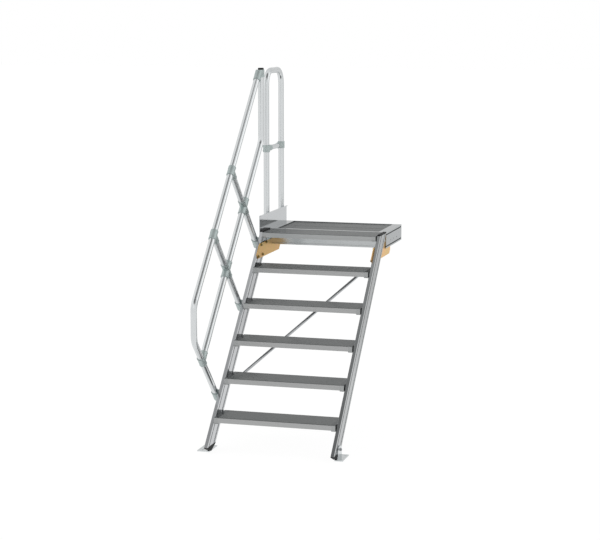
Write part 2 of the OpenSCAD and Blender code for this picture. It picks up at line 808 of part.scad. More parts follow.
// Sleeve around each leg of the hoop, with a cone that narrows to the knee rail
module knee_tees() {
    bore = knee_d + 2*tube_fit;
    for (k = [0, 1]) color("#a0aeac") tube_plane()
        translate([0, k == 0 ? hoop_y0 : hoop_y1, knee_z]) rotate([0, 0, k*180]) difference() {
            union() {
                translate([0, 0, -knee_sleeve/2]) cylinder(h = knee_sleeve, d = connector_d);
                rotate([-90, 0, 0])
                    cylinder(h = knee_branch_len, d1 = connector_d - eps/2, d2 = bore + connector_wall);
            }
            translate([0, 0, -knee_sleeve/2 - eps]) cylinder(h = knee_sleeve + 2*eps, d = bore_d);
            rotate([-90, 0, 0]) cylinder(h = knee_branch_len + eps, d = bore);
        }
}

module hoop_sockets() {
    for (y = [hoop_y0, hoop_y1])
        tube_plane() translate([0, y, hoop_foot_z + socket_len/2]) socket();
}

// ---- Nodes ----

placed() stringer(-1);  // stringer_left
placed() stringer(1);  // stringer_right
placed() top_cap(-1);  // top_cap_left
placed() top_cap(1);  // top_cap_right
placed() shoe(-1);  // shoe_left
placed() shoe(1);  // shoe_right
placed() foot_bracket(-1, foot_w_left);  // foot_bracket_left
placed() foot_bracket(1, foot_w_right);  // foot_bracket_right
placed() tread(1);  // tread_1
placed() tread(2);  // tread_2
placed() tread(3);  // tread_3
placed() tread(4);  // tread_4
placed() tread(5);  // tread_5
placed() tread_ends(-1);  // tread_ends_left
placed() tread_ends(1);  // tread_ends_right
placed() diagonal_brace();
placed() front_beam();
placed() side_member(-1);  // side_member_left
placed() side_member(1);  // side_member_right
placed() cross_bar();
placed() rear_beam();
placed() deck_plank_front();
placed() deck_plank(0);  // deck_plank_middle
placed() deck_plank(1);  // deck_plank_rear
placed() gusset(-1);  // gusset_left
placed() gusset(1);  // gusset_right
placed() toe_board();
placed() top_rail();
placed() middle_rail();
placed() post(post_a_s);  // upper_post
placed() post(post_b_s);  // lower_post
placed() top_connector();
placed() rail_tees();
placed() rail_crosses();
placed() lower_joint();
placed() post_sockets();
placed() rail_plug();
placed() guard_hoop();
placed() knee_rail();
placed() knee_tees();
placed() hoop_sockets();
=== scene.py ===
"""Looks of a straight aluminium platform stair: finishes, fastenings and a studio stage."""

import math

import bpy
import numpy as np
from bpy.props import FloatProperty, FloatVectorProperty, PointerProperty
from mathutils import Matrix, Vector


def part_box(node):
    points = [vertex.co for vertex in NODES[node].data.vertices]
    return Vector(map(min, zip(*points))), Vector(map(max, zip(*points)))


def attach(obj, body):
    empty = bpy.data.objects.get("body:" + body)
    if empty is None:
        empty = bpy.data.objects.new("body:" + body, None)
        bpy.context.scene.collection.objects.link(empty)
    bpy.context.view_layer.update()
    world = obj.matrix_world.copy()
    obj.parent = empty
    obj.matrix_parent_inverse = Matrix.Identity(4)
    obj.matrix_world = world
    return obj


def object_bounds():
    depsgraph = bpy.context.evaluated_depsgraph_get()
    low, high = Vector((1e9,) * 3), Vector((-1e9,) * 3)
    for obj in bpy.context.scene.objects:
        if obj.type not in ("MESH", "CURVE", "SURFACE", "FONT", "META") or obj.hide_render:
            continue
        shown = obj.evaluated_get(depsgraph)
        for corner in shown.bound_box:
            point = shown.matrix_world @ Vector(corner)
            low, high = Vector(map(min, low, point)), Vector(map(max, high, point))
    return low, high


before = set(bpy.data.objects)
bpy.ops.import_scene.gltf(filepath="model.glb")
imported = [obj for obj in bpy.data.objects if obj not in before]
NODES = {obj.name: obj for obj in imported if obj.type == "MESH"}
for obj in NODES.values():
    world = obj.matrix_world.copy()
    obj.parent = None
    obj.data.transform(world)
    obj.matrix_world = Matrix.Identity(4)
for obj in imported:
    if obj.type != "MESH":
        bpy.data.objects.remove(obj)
CAD_BOX = [list(corner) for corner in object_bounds()]

bl_info = {
    "name": "Stair platform finish",
    "version": (1, 0, 0),
    "blender": (4, 5, 0),
    "location": "3D View > Sidebar > Stair",
    "description": "Finishes, fastenings and a studio stage for the platform stair",
    "category": "Object",
}

MM = 0.001
SIDES = ((-1, "left"), (1, "right"))     # sign of X and name of each side of the stair


# ---- Sizes and colours that a user would change ----


def linear(code):
    """Linear red, green and blue of an sRGB hex code."""
    parts = np.array([int(code[i : i + 2], 16) for i in (1, 3, 5)]) / 255
    return tuple(np.where(parts <= 0.04045, parts / 12.92, ((parts + 0.055) / 1.055) ** 2.4).tolist())


def pick_colour(name, code, description):
    """A colour property whose default is an sRGB hex code."""
    return FloatVectorProperty(
        name=name, description=description, subtype="COLOR", default=linear(code), min=0, max=1)


def pick_length(name, default, smallest, largest, description):
    """A length property, given here in millimetres."""
    return FloatProperty(
        name=name, description=description, unit="LENGTH",
        default=default * MM, min=smallest * MM, max=largest * MM)


def pick_power(name, default, description):
    """The power property of a lamp."""
    return FloatProperty(
        name=name, description=description, unit="POWER", default=default, min=0, max=5000)


class StairColours(bpy.types.PropertyGroup):
    """Base colours of the finishes."""

    stringer: pick_colour("Left stringer", "#BCBEC0", "Mill-finish extrusion, also of the brace")
    # Right stringer: the left stringer's extrusion painted darker, as painted shade; the left one is
    # the lighter tone.
    stringer_right: pick_colour("Right stringer", "#A9ACAD", "Slightly duller mill-finish extrusion")
    platform: pick_colour("Side members", "#C3C7C8", "Grooved side members of the platform")
    beam: pick_colour("Beams", "#B6B9BA", "Beams across the platform")
    toe_board: pick_colour("Toe board", "#CACDCF", "Smooth rolled toe board")
    tread_side: pick_colour("Tread sides", "#A6A7A7", "Nosing and rear face of the treads")
    # Tread tops: painted darker than the nosing, as painted shade of the ribs, with grit on top.
    tread_top_painted_shade: pick_colour("Tread tops", "#7C7E7E", "Ribbed walking surface, dulled by grit")
    deck_side: pick_colour("Deck plank sides", "#A4A6A6", "Nosing of the front deck plank")
    # Deck plank tops: painted darker than the nosing, as painted shade of the ribs.
    deck_top_painted_shade: pick_colour("Deck plank tops", "#878989", "Ribbed walking surface of the deck")
    casting: pick_colour("Tread ends", "#9FA1A1", "Cast end pieces of the treads")
    # Tread end tops: painted darker than the sides, as painted shade.
    casting_top_painted_shade: pick_colour("Tread end tops", "#8E9192", "Tops of the cast end pieces")
    tube: pick_colour("Tubes", "#D2D5D6", "Drawn aluminium rails, posts and hoop")
    connector: pick_colour("Connectors", "#B2BCBB", "Cast aluminium tube connectors")
    gusset: pick_colour("Left gusset", "#D6AE64", "Yellow passivated zinc on steel")
    # Right gusset: the left gusset's yellow zinc painted paler, as painted highlight of its brightly
    # lit outer face.
    gusset_right: pick_colour("Right gusset", "#F4C884", "Paler yellow passivated zinc on steel")
    zinc: pick_colour("Zinc", "#D0D4D5", "Bright zinc of the foot brackets")
    # Strips: near-black strips laid in the side members' grooves as painted shade of the grooves.
    strip: pick_colour("Strips", "#26282A", "Cover strips in the side members' grooves")
    plastic: pick_colour("Plastic", "#101213", "Moulded shoes, caps and plug")


class StairHardware(bpy.types.PropertyGroup):
    """Sizes of the fastenings."""

    gusset_bolt: pick_length("Gusset bolt", 13, 8, 24, "Width across the flats of the gusset bolts")
    foot_bolt: pick_length("Foot bolt", 13, 10, 24, "Width across the flats of the foot bolts")
    grub_screw: pick_length("Clamp screw", 9, 5, 12, "Diameter of the connectors' clamp screws")


class StairStage(bpy.types.PropertyGroup):
    """Studio around the stair."""

    floor: pick_colour("Floor", "#E6E6E6", "Colour of the studio floor")
    key: pick_power("Key lamp", 34, "Power of the large lamp on the right")
    fill: pick_power("Fill lamp", 12, "Power of the large lamp on the left")
    front: pick_power("Front lamp", 14, "Power of the lamp behind the camera")
    lens: FloatProperty(
        name="Lens", description="Focal length of the camera", unit="CAMERA",
        default=105.74, min=20, max=300)


# ---- Places, taken from the frame ----


def nosing(k):
    """Place [y, z] of the nosing of tread k."""
    low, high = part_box(f"tread_{k}")
    return np.array([low.y, high.z])


FIRST = nosing(1)
STEP = nosing(2) - FIRST
SLOPE = math.atan2(STEP[1], STEP[0])
ALONG = np.array([0.0, math.cos(SLOPE), math.sin(SLOPE)])
ABOVE = np.array([0.0, -math.sin(SLOPE), math.cos(SLOPE)])
UP = np.array([0.0, 0.0, 1.0])
ACROSS = np.array([1.0, 0.0, 0.0])
BACK = np.array([0.0, 1.0, 0.0])


def on_slope(x, s, n):
    """Point at x that lies s metres up the nosing line from the first nosing and n above it."""
    return np.array([x, FIRST[0], FIRST[1]]) + s * ALONG + n * ABOVE


RIB = 1.6 * MM          # height of the ribs of treads and planks
LUG = 6 * MM            # thickness of the foot brackets
GROOVE_IN = 14 * MM     # middle of a side member's groove from its edge
# A cover strip here is a near-black strip that stands in for the shade in a groove: painted shade.
STRIP_IN = 1.2 * MM     # depth of a cover strip's crown below the face
STRIP_SHORT = 1 * MM    # how far a cover strip stays short of the side member's ends
# section of a near-black groove strip, which stands in for the groove's shade as painted shade [out,
# up]: a shallow crown between two legs
STRIP = MM * np.array([
    (-5, -3.9), (-5, 3.9), (-0.9, 3.9), (-0.3, 3.2), (0, 0), (-0.3, -3.2), (-0.9, -3.9)])
# bolts of a gusset [along, up] from the front beam's lower front edge
GUSSET_BOLTS = MM * np.array([(-319, -45), (-249, 27), (-134, 30), (-217, -42), (64, 14), (164, 14)])
# foot bolts: behind the first nosing, and above the underside of the foot plates
FOOT_BOLT_BACK, FOOT_BOLT_UP = 8 * MM, 59 * MM

# middles of the posts up the slope, and of the two rails and the sockets above the nosing line
POSTS = MM * np.array([1464, 937, 226])
TOP_RAIL, MIDDLE_RAIL, SOCKET = 672 * MM, 304 * MM, -88 * MM
HOOP_IN = 20 * MM                         # middle of a leg of the hoop from the hoop's outline
TUBE = sum(corner.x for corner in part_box("guard_hoop")) / 2
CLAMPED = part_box("rail_tees")[0].x        # outermost line of the connectors
SLEEVE_R = TUBE - CLAMPED
HOOP = (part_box("guard_hoop")[0].y + HOOP_IN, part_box("guard_hoop")[1].y - HOOP_IN)
KNEE = sum(corner.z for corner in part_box("knee_rail")) / 2

# mouths of the connectors from the middle of each: on the tube that runs through, on a branch,
# above the middle of a post socket, and on a knee tee
THROUGH, BRANCH, SOCKET_MOUTH, KNEE_MOUTH = 35 * MM, 64 * MM, 38 * MM, 24 * MM
BRANCH_R = SLEEVE_R - 1 * MM              # a branch has a slightly narrower mouth
# clamp screws from the middle of each connector: on the tube that runs through, on a branch and on
# a knee tee; then from the ends of the hoop's sockets and from the top connector's upper end
SCREW_THROUGH, SCREW_BRANCH, SCREW_KNEE = 24 * MM, 50 * MM, 15 * MM
SCREW_HOOP, SCREW_TOP = 14 * MM, 16 * MM
# section of a knee tee's cone [radius, distance from the leg's middle], with a rolled mouth
CONE = MM * np.array([
    (17.3, 2), (24, 2), (23.4, 18), (20.8, 60), (19.6, 84), (20.4, 85.5), (20.6, 87), (20.2, 88.6),
    (19.2, 90), (17.3, 90)])
# the toe board's screws: how many, and how far before the hoop's legs their row starts and ends
TOE_SCREWS, TOE_FRONT, TOE_REAR = 4, 60 * MM, 80 * MM


def slope_spots(*spots):
    """Places of clamp screws given as [along the slope, above the nosing line]."""
    return [on_slope(CLAMPED, s, n) for s, n in spots]


def level_spots(*spots):
    """Places of clamp screws given as [y, z]."""
    return [np.array([CLAMPED, y, z]) for y, z in spots]


def clamp_spots():
    """Places of the clamp screws of every connector, on the side away from the hand."""
    a, b, c = POSTS
    near, far = SCREW_THROUGH, SCREW_BRANCH
    tee = ((-near, 0), (near, 0), (0, -far))
    cross = ((-far, 0), (far, 0), (0, far), (0, -far))
    low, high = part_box("hoop_sockets")
    ends = (low.z + SCREW_HOOP, high.z - SCREW_HOOP)
    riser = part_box("rail_plug")
    return {
        "rail_tees": slope_spots(*[(s + u, TOP_RAIL + w) for s in (a, b) for u, w in tee]),
        "rail_crosses": slope_spots(*[(s + u, MIDDLE_RAIL + w) for s in (a, b) for u, w in cross]),
        "lower_joint": slope_spots(
            (c, MIDDLE_RAIL + near), (c, MIDDLE_RAIL - near), (c + far, MIDDLE_RAIL)),
        "post_sockets": slope_spots(*[(s, SOCKET + u) for s in (a, b, c) for u in (-near, near)]),
        "hoop_sockets": level_spots(*[(y, z) for y in HOOP for z in ends]),
        "knee_tees": level_spots(*[(y, KNEE + u) for y in HOOP for u in (-SCREW_KNEE, SCREW_KNEE)]),
        "top_connector": level_spots(
            ((riser[0].y + riser[1].y) / 2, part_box("top_connector")[1].z - SCREW_TOP)),
    }


def mouths():
    """Mouths of the connectors: the middle of each, the way and the distance to its mouth, and the
    mouth's radius. Those on the hoop's rear leg are left plain, because the stair ends there."""
    a, b, c = POSTS
    tee = ((ALONG, THROUGH, SLEEVE_R), (-ALONG, THROUGH, SLEEVE_R), (-ABOVE, BRANCH, BRANCH_R))
    cross = (
        (ALONG, BRANCH, SLEEVE_R), (-ALONG, BRANCH, SLEEVE_R),
        (ABOVE, BRANCH, BRANCH_R), (-ABOVE, BRANCH, BRANCH_R))
    end = ((ABOVE, THROUGH, SLEEVE_R), (-ABOVE, THROUGH, SLEEVE_R), (ALONG, BRANCH, BRANCH_R))
    socket_top = np.array([TUBE, HOOP[0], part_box("hoop_sockets")[1].z])
    knee = np.array([TUBE, HOOP[0], KNEE])
    return {
        "rail_tees": [(on_slope(TUBE, s, TOP_RAIL), *mouth) for s in (a, b) for mouth in tee],
        "rail_crosses": [(on_slope(TUBE, s, MIDDLE_RAIL), *mouth) for s in (a, b) for mouth in cross],
        "lower_joint": [(on_slope(TUBE, c, MIDDLE_RAIL), *mouth) for mouth in end],
        "post_sockets": [
            (on_slope(TUBE, s, SOCKET), ABOVE, SOCKET_MOUTH, SLEEVE_R) for s in (a, b, c)],
        "hoop_sockets": [(socket_top, UP, 0, SLEEVE_R)],
        "knee_tees": [(knee, way, KNEE_MOUTH, SLEEVE_R) for way in (UP, -UP)],
    }


# ---- Surfaces ----

SHARP = math.radians(32)    # edges sharper than this stay crisp


def turned(rings, sides=24):
    """A grid of ring by angle, closed with a pole at each end. On a ring of radius r, height h and
    share q, the point at angle t lies r*(1 + q*(1/cos(t mod 60 - 30) - 1)) from the axis, so that
    q = 0 is a circle and q = 1 a hexagon with flats at r."""
    r, h, q = np.array(rings, float).T
    t = np.arange(sides) * 2 * math.pi / sides
    hexagon = 1 / np.cos(np.mod(t, math.pi / 3) - math.pi / 6)
    radius = r[:, None] * (1 + q[:, None] * (hexagon - 1))
    grid = np.stack([radius * np.cos(t), radius * np.sin(t), h[:, None] + 0 * t], -1).reshape(-1, 3)
    points = np.vstack([grid, [[0, 0, h[0]], [0, 0, h[-1]]]])
    k, j = np.meshgrid(np.arange(len(r) - 1), np.arange(sides), indexing="ij")
    a, b = k * sides + j, k * sides + (j + 1) % sides
    quads = np.stack([a, b, b + sides, a + sides], -1).reshape(-1, 4)
    j = np.arange(sides)
    after, last, low, high = (j + 1) % sides, (len(r) - 1) * sides, len(grid), len(grid) + 1
    caps = np.vstack([
        np.stack([after, j, np.full(sides, low)], -1),
        np.stack([last + j, last + after, np.full(sides, high)], -1),
    ])
    return points, quads.tolist() + caps.tolist()


def carried(section, start, end, steps=24):
    """A closed section [out, up] carried along a level way and capped: the point at share t of the
    way is start + t*(end - start) + out*side + up*above, where side and above are square to the
    way and to each other."""
    t = np.linspace(0, 1, steps)[:, None, None]
    way = (end - start) / np.linalg.norm(end - start)
    side = np.cross(way, UP)
    points = start + t * (end - start) + (section @ np.array([side, np.cross(side, way)]))[None]
    m = len(section)
    k, j = np.meshgrid(np.arange(steps - 1), np.arange(m), indexing="ij")
    a, b = k * m + j, k * m + (j + 1) % m
    quads = np.stack([a, b, b + m, a + m], -1).reshape(-1, 4).tolist()
    caps = [np.arange(m)[::-1].tolist(), (np.arange(m) + (steps - 1) * m).tolist()]
    faces = quads + caps
    after = np.roll(section, -1, axis=0)
    area = np.sum(section[:, 0] * after[:, 1] - section[:, 1] * after[:, 0])
    return points.reshape(-1, 3), faces if area < 0 else [face[::-1] for face in faces]


def ring_of(section, sides=48):
    """A closed section [radius, height] carried round local Z: the point at angle t is
    radius*cos(t), radius*sin(t), height."""
    r, h = np.array(section, float).T
    t = np.arange(sides) * 2 * math.pi / sides
    points = np.stack([r[:, None] * np.cos(t), r[:, None] * np.sin(t), h[:, None] + 0 * t], -1)
    m = len(r)
    k, j = np.meshgrid(np.arange(m), np.arange(sides), indexing="ij")
    a, b = k * sides + j, k * sides + (j + 1) % sides
    c, d = (k + 1) % m * sides + j, (k + 1) % m * sides + (j + 1) % sides
    return points.reshape(-1, 3), np.stack([a, b, d, c], -1).reshape(-1, 4).tolist()


def lip(radius):
    """Rolled lip round the mouth of a connector: a half-round bead 3.6 mm wide, 1.2 mm proud."""
    bead = [
        (-0.6, -3.6), (0.3, -3.4), (1.0, -2.6), (1.2, -1.7), (1.0, -0.8), (0.3, 0.0), (-0.6, 0.0)]
    return ring_of([(radius + out * MM, up * MM) for out, up in bead])


def set_on(surface, foot, axis):
    """The surface with its local Z turned to the axis and its foot at the given point: the point
    x, y, z goes to foot + x*u + y*v + z*w, where w is the axis and u and v are square to it."""
    points, faces = surface
    w = np.array(axis, float) / np.linalg.norm(axis)
    u = np.cross(UP if abs(w[2]) < 0.9 else ACROSS, w)
    u /= np.linalg.norm(u)
    return points @ np.array([u, np.cross(w, u), w]) + np.array(foot), faces


def hex_bolt(flats):
    """Rings of a washer with a chamfered hexagon head, for turned(). The washer is 1.75 times as
    wide as the head, and the head 0.62 times as high as it is wide."""
    w, chamfer, washer, head = flats / 2, 0.7 * MM, 1.6 * MM, 0.62 * flats
    return [
        (0.45 * w, 0, 0), (1.75 * w, 0, 0), (1.75 * w, 1.2 * MM, 0), (1.7 * w, washer, 0),
        (1.0 * w, washer, 1), (1.0 * w, washer + head - chamfer, 1), (0.96 * w, washer + head, 0),
    ]


def socket_screw(diameter):
    """Rings of a low round head with a rolled rim and a hexagon socket, for turned(). It sinks
    1.5 mm into what it holds."""
    w = diameter / 2
    return [
        (0.8 * w, -1.5 * MM, 0), (w, -0.5 * MM, 0), (w, 0.3 * w, 0), (0.86 * w, 0.48 * w, 0),
        (0.56 * w, 0.52 * w, 0), (0.46 * w, 0.5 * w, 1), (0.44 * w, 0.1 * w, 1), (0.2 * w, 0.05 * w, 0),
    ]


def make_piece(name, surfaces, material):
    """One mesh object from several surfaces, riding on the stair's only body."""
    points, faces, start = [], [], 0
    for p, f in surfaces:
        points.append(p)
        faces += [[i + start for i in face] for face in f]
        start += len(p)
    mesh = bpy.data.meshes.new(name)
    mesh.from_pydata(np.vstack(points).tolist(), [], faces)
    mesh.validate()
    mesh.polygons.foreach_set("use_smooth", np.ones(len(mesh.polygons), bool))
    mesh.set_sharp_from_angle(angle=SHARP)
    mesh.materials.append(material)
    mesh.update()
    piece = bpy.data.objects.new(name, mesh)
    bpy.context.scene.collection.objects.link(piece)
    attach(piece, "root")
    return piece


# ---- Finishes ----

MIX_A, MIX_B, MIX_OUT = 6, 7, 2     # sockets of a Mix node that mixes colours


def add(tree, kind, sockets=None, **settings):
    """Adds a node, with its settings, and its inputs set to values or linked from other sockets."""
    node = tree.nodes.new(kind)
    for key, value in settings.items():
        setattr(node, key, value)
    for key, value in (sockets or {}).items():
        if isinstance(value, bpy.types.NodeSocket):
            tree.links.new(value, node.inputs[key])
        else:
            node.inputs[key].default_value = value
    return node


def empty_material(name):
    """A material and its cleared node tree."""
    material = bpy.data.materials.new(name)
    material.use_nodes = True
    material.node_tree.nodes.clear()
    return material, material.node_tree


def new_material(name, **shader):
    """A material with its tree and its Principled shader, whose plain values are set here."""
    material, tree = empty_material(name)
    body = add(tree, "ShaderNodeBsdfPrincipled", shader)
    add(tree, "ShaderNodeOutputMaterial", {"Surface": body.outputs["BSDF"]})
    return material, tree, body


def wire(tree, body, paint, dull, relief=None):
    """Links a colour, a roughness and, where there is one, a relief to the shader."""
    tree.links.new(paint, body.inputs["Base Color"])
    tree.links.new(dull.outputs[0], body.inputs["Roughness"])
    if relief is not None:
        tree.links.new(relief.outputs[0], body.inputs["Normal"])


def tone(colour, factor):
    """The colour made lighter or darker, as red, green, blue and alpha."""
    return (*[min(1, c * factor) for c in colour], 1)


def bar_metal(name, colour, turn, line, roughness, spread, bump, edge=1.0):
    """Extruded or drawn aluminium. Fine die lines run the length of the bar, so light smears along
    it and shows faint stripes; between them the satin skin varies softly in wide clouds. The bar's
    length is local X after the turn. Line is the real width of a die line, drawn 5 times as coarse
    so that it shows. Spread is how far the tone varies. A skin with an edge below 1 is dulled at a
    flat angle by its fine oxide."""
    coarse, run = 5 * line, 1111 * MM       # drawn width of a die line, and its length
    cloud_size = 111 * MM
    material, tree, body = new_material(
        name, **{"Metallic": 1.0, "Specular Tint": (edge, edge, edge, 1)})
    where = add(tree, "ShaderNodeTexCoord").outputs["Object"]
    where = add(tree, "ShaderNodeMapping", {"Vector": where, "Rotation": turn}, vector_type="TEXTURE")
    lines = add(tree, "ShaderNodeMapping", {
        "Vector": where.outputs[0], "Scale": (1 / run, 1 / coarse, 1 / coarse)}, vector_type="POINT")
    lines = add(tree, "ShaderNodeTexNoise", {
        "Vector": lines.outputs[0], "Scale": 1.0, "Detail": 2.0, "Roughness": 0.6})
    cloud = add(tree, "ShaderNodeTexNoise", {
        "Vector": where.outputs[0], "Scale": 1 / cloud_size, "Detail": 3.0, "Roughness": 0.5})
    both = add(tree, "ShaderNodeMath", {
        0: lines.outputs["Fac"], 1: cloud.outputs["Fac"]}, operation="ADD")
    shade = add(tree, "ShaderNodeMapRange", {
        "Value": both.outputs[0], "From Min": 0.7, "From Max": 1.3, "To Min": 0.0, "To Max": 1.0})
    paint = add(tree, "ShaderNodeMix", {
        "Factor": shade.outputs[0], MIX_A: tone(colour, 1 - spread), MIX_B: tone(colour, 1 + spread)},
        data_type="RGBA")
    dull = add(tree, "ShaderNodeMapRange", {
        "Value": cloud.outputs["Fac"], "From Min": 0.3, "From Max": 0.7,
        "To Min": 0.8 * roughness, "To Max": 1.25 * roughness})
    relief = add(tree, "ShaderNodeBump", {
        "Height": lines.outputs["Fac"], "Strength": bump, "Distance": 0.15 * MM})
    wire(tree, body, paint.outputs[MIX_OUT], dull, relief)
    return material


def tread_metal(name, side, top, level):
    """Ribbed extruded aluminium. The walking surface, down to the foot of its ribs, is painted darker
    than the rest as painted shade of its ribs, dulled, speckled darker with grit and rubbed a little
    brighter where feet land; nosing and rear face keep the clean satin skin. The surface lies at the
    level, and again every step below it. Die lines and grit are drawn coarser than real so that they
    show. The treads' cast ends, whose tops are painted darker in the same way, take this finish too."""
    margin, fade = 2 * MM, 1 * MM           # slack above the surface, and the change below it
    line, run = 3.85 * MM, 833 * MM         # drawn width of a die line, and its length
    grain, patch = 2.38 * MM, 200 * MM      # of the grit and of the wear
    material, tree, body = new_material(
        name, **{"Metallic": 1.0, "Specular Tint": (0.5, 0.5, 0.5, 1)})
    place = add(tree, "ShaderNodeTexCoord").outputs["Object"]
    height = add(tree, "ShaderNodeSeparateXYZ", {"Vector": place})
    depth = add(tree, "ShaderNodeMath", {
        0: level + margin, 1: height.outputs["Z"]}, operation="SUBTRACT")
    depth = add(tree, "ShaderNodeMath", {
        0: depth.outputs[0], 1: float(STEP[1])}, operation="FLOORED_MODULO")
    # 1 on the walking surface, down to the foot of its ribs, which takes the top colour painted darker
    # as painted shade; 0 on nosing and rear face
    upward = add(tree, "ShaderNodeMapRange", {
        "Value": depth.outputs[0], "From Min": margin + RIB, "From Max": margin + RIB + fade,
        "To Min": 1.0, "To Max": 0.0})
    lines = add(tree, "ShaderNodeMapping", {
        "Vector": place, "Scale": (1 / run, 1 / line, 1 / line)})
    lines = add(tree, "ShaderNodeTexNoise", {
        "Vector": lines.outputs[0], "Scale": 1.0, "Detail": 2.0})
    grit = add(tree, "ShaderNodeTexNoise", {"Vector": place, "Scale": 1 / grain, "Detail": 2.0})
    wear = add(tree, "ShaderNodeTexNoise", {"Vector": place, "Scale": 1 / patch, "Detail": 3.0})
    clean = add(tree, "ShaderNodeMix", {
        "Factor": lines.outputs["Fac"], MIX_A: tone(side, 0.93), MIX_B: tone(side, 1.07)},
        data_type="RGBA")
    # the top colour is painted shade of the ribs; the wear patches vary it at random
    worn_shaded_top = add(tree, "ShaderNodeMix", {
        "Factor": wear.outputs["Fac"], MIX_A: tone(top, 0.82), MIX_B: tone(top, 1.2)},
        data_type="RGBA")
    gritty_shaded_top = add(tree, "ShaderNodeMix", {
        "Factor": grit.outputs["Fac"], MIX_A: worn_shaded_top.outputs[MIX_OUT], MIX_B: tone(top, 0.9)},
        data_type="RGBA")
    paint = add(tree, "ShaderNodeMix", {
        "Factor": upward.outputs[0], MIX_A: clean.outputs[MIX_OUT], MIX_B: gritty_shaded_top.outputs[MIX_OUT]},
        data_type="RGBA")
    dull = add(tree, "ShaderNodeMapRange", {
        "Value": upward.outputs[0], "To Min": 0.34, "To Max": 0.25})
    relief = add(tree, "ShaderNodeBump", {
        "Height": grit.outputs["Fac"], "Strength": 0.06, "Distance": 0.2 * MM})
    wire(tree, body, paint.outputs[MIX_OUT], dull, relief)
    return material


def cast_metal(name, colour, roughness, grain):
    """Tumbled die-cast aluminium: a skin pebbled one grain wide, uneven in tone and gloss from
    patch to patch."""
    patch = 40 * MM
    material, tree, body = new_material(name, Metallic=1.0)
    place = add(tree, "ShaderNodeTexCoord").outputs["Object"]
    pebble = add(tree, "ShaderNodeTexNoise", {"Vector": place, "Scale": 1 / grain, "Detail": 2.0})
    cloud = add(tree, "ShaderNodeTexNoise", {"Vector": place, "Scale": 1 / patch, "Detail": 2.0})
    paint = add(tree, "ShaderNodeMix", {
        "Factor": cloud.outputs["Fac"], MIX_A: tone(colour, 0.86), MIX_B: tone(colour, 1.12)},
        data_type="RGBA")
    dull = add(tree, "ShaderNodeMapRange", {
        "Value": cloud.outputs["Fac"], "To Min": roughness - 0.06, "To Max": roughness + 0.06})
    relief = add(tree, "ShaderNodeBump", {
        "Height": pebble.outputs["Fac"], "Strength": 0.35, "Distance": 0.3 * MM})
    wire(tree, body, paint.outputs[MIX_OUT], dull, relief)
    return material


def yellow_zinc(name, thin, colour, thick):
    """Yellow passivated zinc on steel: gold, with a faint drift from patch to patch towards the
    colours of a thin and of a thick film."""
    patch = 71.4 * MM
    material, tree, body = new_material(name, Metallic=1.0)
    place = add(tree, "ShaderNodeTexCoord").outputs["Object"]
    film = add(tree, "ShaderNodeTexNoise", {"Vector": place, "Scale": 1 / patch, "Detail": 3.0})
    drift = add(tree, "ShaderNodeValToRGB", {"Fac": film.outputs["Fac"]})
    stops = drift.color_ramp.elements
    stops[0].position, stops[0].color = 0.3, (*thin, 1)
    stops[1].position, stops[1].color = 0.72, (*thick, 1)
    stops.new(0.5).color = (*colour, 1)
    dull = add(tree, "ShaderNodeMapRange", {
        "Value": film.outputs["Fac"], "To Min": 0.3, "To Max": 0.5})
    wire(tree, body, drift.outputs["Color"], dull)
    return material


def bright_zinc(name, colour, roughness):
    """Bright zinc plate on steel: a cool silver with faint spangles and a tone that varies from
    patch to patch."""
    flake_size, patch = 6.25 * MM, 50 * MM
    material, tree, body = new_material(name, Metallic=1.0)
    place = add(tree, "ShaderNodeTexCoord").outputs["Object"]
    spangle = add(tree, "ShaderNodeTexVoronoi", {"Vector": place, "Scale": 1 / flake_size})
    cloud = add(tree, "ShaderNodeTexNoise", {"Vector": place, "Scale": 1 / patch, "Detail": 2.0})
    flake = add(tree, "ShaderNodeSeparateColor", {"Color": spangle.outputs["Color"]})
    both = add(tree, "ShaderNodeMath", {
        0: flake.outputs[0], 1: cloud.outputs["Fac"]}, operation="MULTIPLY")
    paint = add(tree, "ShaderNodeMix", {
        "Factor": both.outputs[0], MIX_A: tone(colour, 0.94), MIX_B: tone(colour, 1.12)},
        data_type="RGBA")
    dull = add(tree, "ShaderNodeMapRange", {
        "Value": flake.outputs[0], "To Min": roughness - 0.05, "To Max": roughness + 0.05})
    wire(tree, body, paint.outputs[MIX_OUT], dull)
    return material


def moulded_plastic(name, colour):
    """Black moulded plastic: near-black and semi-matt. Its spark-eroded texture is drawn coarser
    than real so that it shows, and a little dust lies on it in patches."""
    grain, patch = 1.43 * MM, 33.3 * MM     # of the texture and of the dust
    material, tree, body = new_material(
        name, **{"Metallic": 0.0, "IOR": 1.49, "Specular IOR Level": 0.2})
    place = add(tree, "ShaderNodeTexCoord").outputs["Object"]
    spark = add(tree, "ShaderNodeTexNoise", {"Vector": place, "Scale": 1 / grain, "Detail": 2.0})
    dust = add(tree, "ShaderNodeTexNoise", {"Vector": place, "Scale": 1 / patch, "Detail": 3.0})
    paint = add(tree, "ShaderNodeMix", {
        "Factor": dust.outputs["Fac"], MIX_A: tone(colour, 0.7), MIX_B: tone(colour, 1.6)},
        data_type="RGBA")
    dull = add(tree, "ShaderNodeMapRange", {
        "Value": dust.outputs["Fac"], "To Min": 0.5, "To Max": 0.7})
    relief = add(tree, "ShaderNodeBump", {
        "Height": spark.outputs["Fac"], "Strength": 0.3, "Distance": 0.1 * MM})
    wire(tree, body, paint.outputs[MIX_OUT], dull, relief)
    return material


def dress(material, *names):
    """Gives the named CAD nodes the material."""
    for name in names:
        mesh = NODES[name].data
        mesh.materials.clear()
        mesh.materials.append(material)


UPRIGHT = math.radians(90)
CROSSWISE = (0, 0, 0)       # turn of a pattern on a bar that lies across the stair


def lengthwise(angle):
    """Turn of a pattern on a bar that climbs at the angle towards the back."""
    return (0, -angle, math.radians(90))


